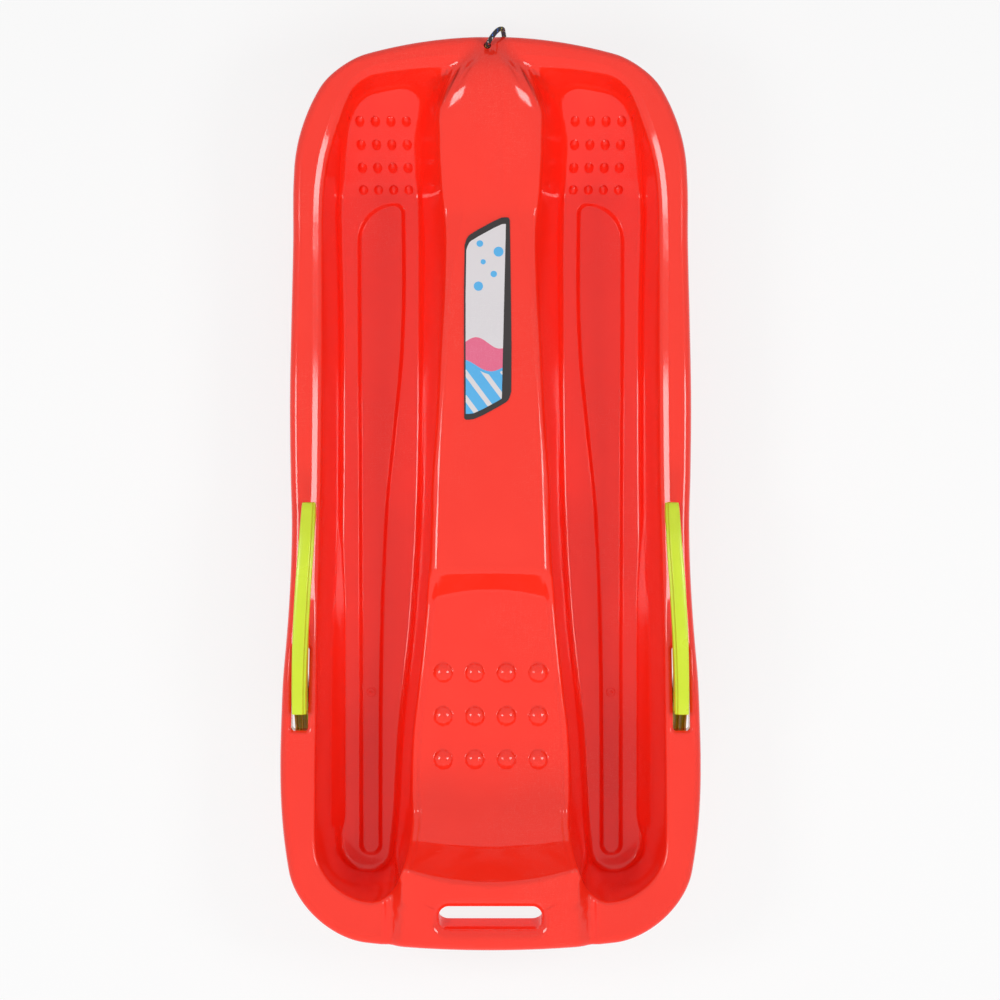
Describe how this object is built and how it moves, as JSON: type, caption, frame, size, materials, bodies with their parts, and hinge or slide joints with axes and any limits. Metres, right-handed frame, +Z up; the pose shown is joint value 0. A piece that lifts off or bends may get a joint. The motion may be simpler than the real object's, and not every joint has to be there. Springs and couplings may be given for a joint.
{
  "type": "plastic bob sled",
  "caption": "Moulded plastic snow sled with two leg troughs, centre spine, seat, rear hand slot, hand brakes at the sides and a tow rope at the nose.",
  "frame": {"origin": "on the snow, under the middle of the hull's length and width", "axes": "+X to the rider's right, +Y to the nose, +Z up"},
  "size_m": [0.4148, 0.898, 0.1626],
  "materials": {
    "hull_plastic": "gloss",
    "lever_plastic": "semi-gloss",
    "pin_steel": "zinc plated",
    "label_film": "satin",
    "rope_braid": "braided",
    "tie_plastic": "matte"
  },
  "bodies": {
    "sled": {"hull": "hull_plastic", "brake_pin_left": "pin_steel", "brake_pin_right": "pin_steel", "label": "label_film", "tow_rope": "rope_braid", "tow_rope_knot": "rope_braid", "tow_rope_coil": "rope_braid", "tow_rope_end_knot": "rope_braid", "coil_tie": "tie_plastic"},
    "brake_left": {"brake_lever_left": "lever_plastic"},
    "brake_right": {"brake_lever_right": "lever_plastic"}
  },
  "joints": [
    {"name": "brake_left_hinge", "type": "hinge", "parent": "sled", "child": "brake_left", "pos_m": [-0.18741, -0.19803, 0.103], "axis": [1, 0, 0], "range_deg": [0, 55]},
    {"name": "brake_right_hinge", "type": "hinge", "parent": "sled", "child": "brake_right", "pos_m": [0.18741, -0.19803, 0.103], "axis": [1, 0, 0], "range_deg": [0, 55]}
  ]
}
